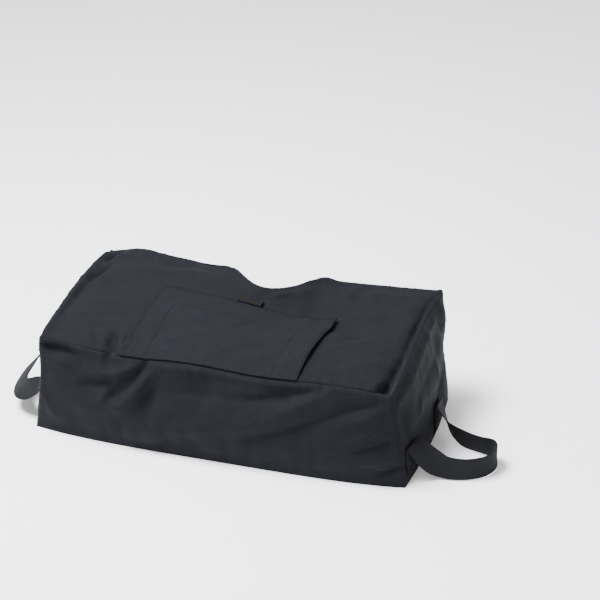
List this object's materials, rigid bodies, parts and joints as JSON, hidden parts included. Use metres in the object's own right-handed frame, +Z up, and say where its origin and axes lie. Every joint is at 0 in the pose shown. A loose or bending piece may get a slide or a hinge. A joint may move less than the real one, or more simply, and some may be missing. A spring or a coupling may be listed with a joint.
{
  "type": "grip sandbag",
  "caption": "Box-shaped black fabric sandbag with a flap over its fill opening, webbing loop handles on both ends and a notch for a pole in its rear side.",
  "frame": {"origin": "middle of the base, on the floor", "axes": "+X along the length, +Y toward the side with the notch, +Z up"},
  "size_m": [0.7936, 0.2812, 0.197],
  "materials": {
    "shell_fabric": "matte",
    "flap_fabric": "matte",
    "hook_tape": "matte",
    "loop_tape": "matte",
    "seam_binding": "matte",
    "webbing": "matte",
    "liner_fabric": "matte",
    "sand": "matte",
    "tie_cord": "matte"
  },
  "bodies": {
    "bag": {"bottom_panel": "shell_fabric", "top_panel": "shell_fabric", "front_panel": "shell_fabric", "rear_panel": "shell_fabric", "left_end_panel": "shell_fabric", "right_end_panel": "shell_fabric", "left_strip_backing": "shell_fabric", "right_strip_backing": "shell_fabric", "rear_hook_strip": "hook_tape", "left_opening_loop_tape": "loop_tape", "right_opening_loop_tape": "loop_tape", "rear_opening_loop_tape": "loop_tape", "rear_loop_strip": "loop_tape", "bottom_seam_binding": "seam_binding", "top_seam_binding": "seam_binding", "left_front_seam_binding": "seam_binding", "left_rear_seam_binding": "seam_binding", "right_front_seam_binding": "seam_binding", "right_rear_seam_binding": "seam_binding", "opening_binding": "seam_binding", "left_handle_front_sewn_end": "webbing", "left_handle_rear_sewn_end": "webbing", "right_handle_front_sewn_end": "webbing", "right_handle_rear_sewn_end": "webbing", "left_liner": "liner_fabric", "right_liner": "liner_fabric", "left_sand_fill": "sand", "right_sand_fill": "sand", "left_neck_tie": "tie_cord", "right_neck_tie": "tie_cord"},
    "flap": {"flap_lining": "flap_fabric", "flap_cover": "flap_fabric", "left_flap_hook_tape": "hook_tape", "right_flap_hook_tape": "hook_tape", "rear_flap_hook_tape": "hook_tape"},
    "pull_tab": {"pull_tab": "webbing"},
    "left_handle": {"left_handle": "webbing"},
    "right_handle": {"right_handle": "webbing"}
  },
  "joints": [
    {"name": "flap_hinge", "type": "hinge", "parent": "bag", "child": "flap", "pos_m": [0, -0.1246, 0.1618], "axis": [1, 0, 0], "range_deg": [0, 225]},
    {"name": "pull_tab_hinge", "type": "hinge", "parent": "flap", "child": "pull_tab", "pos_m": [0.007, 0.0304, 0.1815], "axis": [0.9919, 0, -0.1273], "range_deg": [0, 90]},
    {"name": "left_handle_hinge", "type": "hinge", "parent": "bag", "child": "left_handle", "pos_m": [-0.3044, -0.0974, 0.0639], "axis": [-0.0907, 0.9943, 0.0565], "range_deg": [0, 68]},
    {"name": "right_handle_hinge", "type": "hinge", "parent": "bag", "child": "right_handle", "pos_m": [0.3044, -0.0974, 0.0597], "axis": [-0.0906, -0.9931, -0.0748], "range_deg": [0, 84]}
  ]
}
